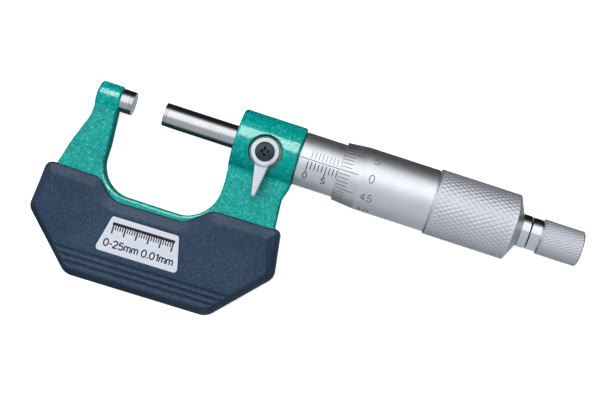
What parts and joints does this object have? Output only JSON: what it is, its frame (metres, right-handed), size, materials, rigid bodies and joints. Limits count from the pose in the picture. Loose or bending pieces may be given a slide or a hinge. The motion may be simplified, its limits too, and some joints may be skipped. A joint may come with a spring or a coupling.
{
  "type": "outside micrometer",
  "caption": "Outside micrometer for lengths up to 25 mm, with a C-shaped frame, insulating covers, graduated sleeve and thimble, ratchet stop and spindle clamp lever.",
  "frame": {"origin": "centre of the anvil's measuring face", "axes": "+X along the spindle axis from the anvil to the ratchet; +Y in the plane of the frame, from the bow to the spindle axis; +Z out of the front face, which carries the graduations, the clamp lever and the nameplate"},
  "size_m": [0.1424, 0.0574, 0.0195],
  "materials": {
    "frame_paint": "teal-green metallic enamel, finely textured",
    "cover_plastic": "slate blue moulded plastic, fine grain",
    "nameplate": "pale satin plate with dark print",
    "satin_chrome": "satin chrome, non-glare",
    "polished_chrome": "bright chrome",
    "ground_steel": "hardened, ground and lapped",
    "carbide": "lapped tungsten carbide",
    "black_steel": "black oxide",
    "brass": "machined brass"
  },
  "bodies": {
    "frame": {"frame": "frame_paint", "anvil": "ground_steel", "anvil_carbide_tip": "carbide", "inner_sleeve": "ground_steel", "sleeve": "satin_chrome", "adjusting_nut": "ground_steel", "clamp_shoe": "brass", "front_cover": "cover_plastic", "rear_cover": "cover_plastic", "nameplate": "nameplate", "cover_screw_left": "black_steel", "cover_screw_right": "black_steel"},
    "spindle_travel": {"spindle_carbide_tip": "carbide"},
    "thimble": {"spindle": "ground_steel", "thimble": "satin_chrome", "ratchet_stud": "polished_chrome", "ratchet_crown": "ground_steel", "ratchet_spring": "ground_steel", "ratchet_end_screw": "black_steel"},
    "ratchet_knob": {"ratchet_knob": "polished_chrome"},
    "clamp_lever": {"clamp_lever": "satin_chrome", "clamp_lever_screw": "black_steel", "clamp_stud": "ground_steel"}
  },
  "joints": [
    {"name": "spindle_feed", "type": "slide", "parent": "frame", "child": "spindle_travel", "axis": [1, 0, 0], "range_m": [-0.00849, 0.0165]},
    {"name": "thimble_turn", "type": "hinge", "parent": "spindle_travel", "child": "thimble", "pos_m": [0, 0, 0], "axis": [1, 0, 0], "range_deg": [-6114, 11881]},
    {"name": "ratchet_turn", "type": "hinge", "parent": "thimble", "child": "ratchet_knob", "pos_m": [0.1108, 0, 0], "axis": [1, 0, 0], "continuous": true},
    {"name": "clamp_turn", "type": "hinge", "parent": "frame", "child": "clamp_lever", "pos_m": [0.0375, -0.0015, 0.006], "axis": [0, 0, 1], "range_deg": [-60, 0]}
  ],
  "couplings": [
    {"joint": "thimble_turn", "follows": "spindle_feed", "rad_per_m": 12566}
  ]
}
